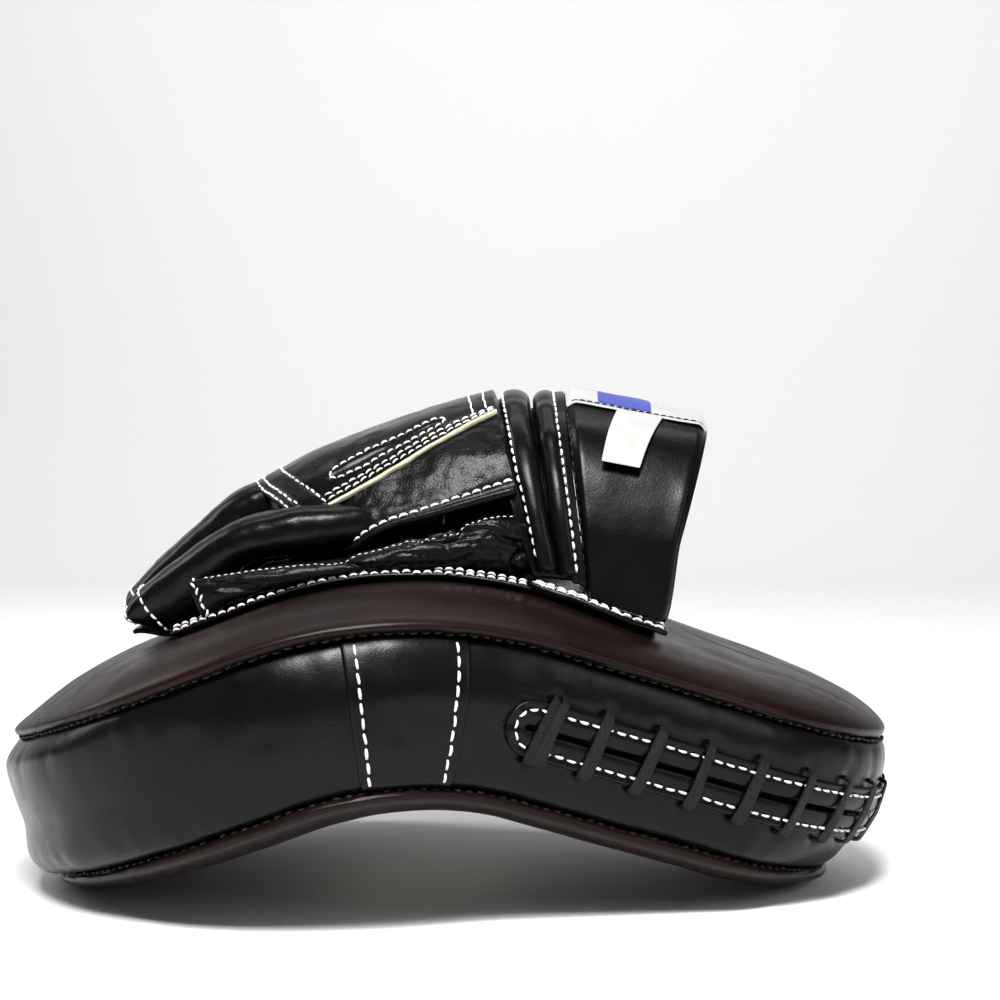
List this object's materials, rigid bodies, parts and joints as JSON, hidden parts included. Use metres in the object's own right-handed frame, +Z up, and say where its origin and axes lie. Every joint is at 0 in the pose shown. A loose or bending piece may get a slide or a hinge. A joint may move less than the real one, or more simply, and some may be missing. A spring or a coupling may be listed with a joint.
{
  "type": "focus mitt",
  "caption": "Curved striking pad for boxing practice: laced leather sides, crowned faces and a half glove with finger stalls and a wrist strap on its back.",
  "frame": {"origin": "centre of the footprint box, on the surface the mitt lies on, striking face down", "axes": "+X towards the wrist end, -Y towards the thumb side, +Z up from the striking face to the glove"},
  "size_m": [0.2666, 0.2036, 0.1476],
  "materials": {
    "brown_leather": "satin",
    "black_leather": "satin",
    "cream_leather": "matte",
    "foam": "matte",
    "lace_cord": "matte",
    "touch_fastener": "matte",
    "label_satin": "satin"
  },
  "bodies": {
    "root": {"back_panel": "brown_leather", "face_panel": "brown_leather", "target_disc": "cream_leather", "edge_binding_thumb": "cream_leather", "edge_binding_far": "cream_leather", "foam_back_layer": "foam", "foam_core_layer": "foam", "foam_strike_layer": "foam", "gusset_finger_end": "black_leather", "gusset_wrist_end": "black_leather", "side_panel_thumb": "black_leather", "side_panel_far": "black_leather", "lace_facing": "black_leather", "lace_tongue": "black_leather", "hand_back_panel": "black_leather", "side_wall_thumb": "black_leather", "side_wall_far": "black_leather", "knuckle_band": "black_leather", "wrist_roll_front": "black_leather", "wrist_roll_rear": "black_leather", "finger_stall_index": "black_leather", "finger_stall_middle": "black_leather", "finger_stall_ring": "black_leather", "finger_stall_little": "black_leather", "thumb_stall": "black_leather", "glove_base": "black_leather", "fingertip_anchor": "black_leather", "strap_base_flange": "black_leather", "cuff_base_flange_far": "black_leather", "palm_ball": "black_leather", "cuff_under_flap": "black_leather", "lace": "lace_cord", "loop_patch": "touch_fastener"},
    "strap_side": {"strap_wall": "black_leather"},
    "strap_flap": {"strap_flap": "black_leather", "hook_patch": "touch_fastener", "woven_label": "label_satin"},
    "care_tag": {"care_tag": "label_satin"}
  },
  "joints": [
    {"name": "strap_foot", "type": "hinge", "parent": "root", "child": "strap_side", "pos_m": [0.05323, -0.04805, 0.0915], "axis": [0.9937, 0, -0.1121], "range_deg": [0, 40]},
    {"name": "strap_peel", "type": "hinge", "parent": "strap_side", "child": "strap_flap", "pos_m": [0.05528, -0.04, 0.1201], "axis": [0.9841, 0, -0.1778], "range_deg": [0, 125]},
    {"name": "tag_swing", "type": "hinge", "parent": "strap_flap", "child": "care_tag", "pos_m": [0.05659, -0.02157, 0.13801], "axis": [-0.9799, 0, 0.1997], "range_deg": [0, 90]}
  ]
}
